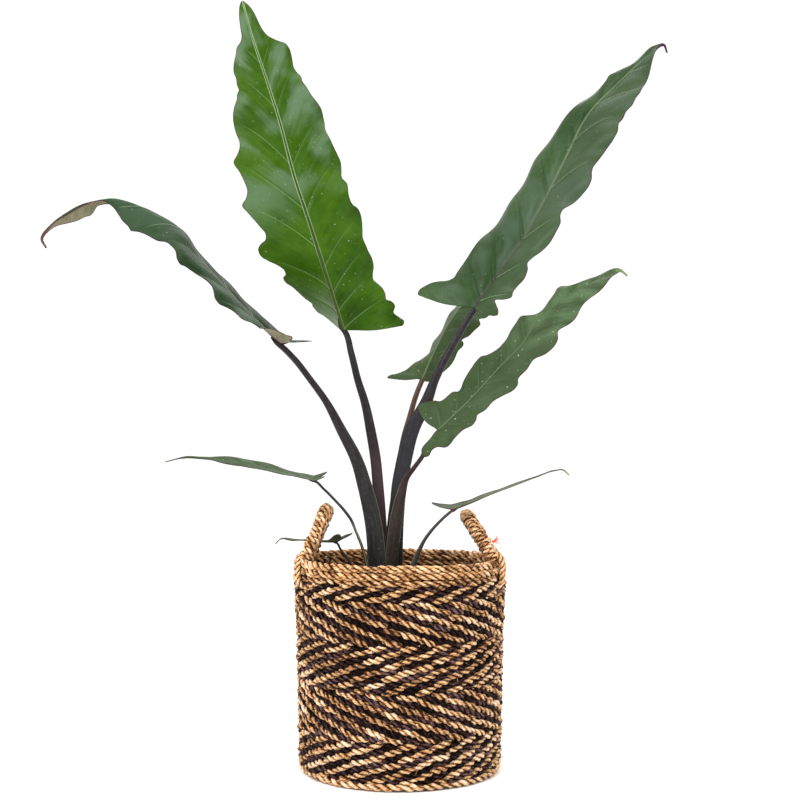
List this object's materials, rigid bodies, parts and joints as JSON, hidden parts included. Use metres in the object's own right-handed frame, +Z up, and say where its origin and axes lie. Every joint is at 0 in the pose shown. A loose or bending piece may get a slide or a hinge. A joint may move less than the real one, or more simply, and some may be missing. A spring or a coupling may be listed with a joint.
{
  "type": "potted alocasia lauterbachiana",
  "caption": "Potted aroid with long wavy arrow-shaped leaves on dark stalks, in a plastic pot inside a round tan and black woven basket with rope handles.",
  "frame": {"origin": "middle of the basket's flat foot, on the floor it stands on", "axes": "+Z up, -Y towards the viewer's side shown in the picture, +X to that viewer's right, so the handles lie at -X and +X"},
  "size_m": [0.7622, 0.306, 0.9414],
  "materials": {
    "two_tone_seagrass": "matte twined cord",
    "natural_seagrass": "matte twisted rope",
    "red_string": "satin",
    "black_plastic": "matte",
    "potting_mix": "crumbly",
    "dark_stalk": "satin",
    "brown_stalk": "satin",
    "leaf": "semi-gloss"
  },
  "bodies": {
    "root": {"basket_body": "two_tone_seagrass", "rim_rope_lower": "natural_seagrass", "rim_rope_upper": "natural_seagrass", "handle_left": "natural_seagrass", "handle_right": "natural_seagrass", "handle_tie": "red_string", "nursery_pot": "black_plastic", "soil": "potting_mix", "petiole_1": "brown_stalk", "blade_1": "leaf", "petiole_2": "dark_stalk", "blade_2": "leaf", "petiole_3": "dark_stalk", "blade_3": "leaf", "petiole_4": "dark_stalk", "blade_4": "leaf", "petiole_5": "dark_stalk", "blade_5": "leaf", "petiole_6": "dark_stalk", "blade_6": "leaf", "petiole_7": "dark_stalk", "blade_7": "leaf", "petiole_8": "dark_stalk", "blade_8": "leaf"}
  },
  "joints": []
}
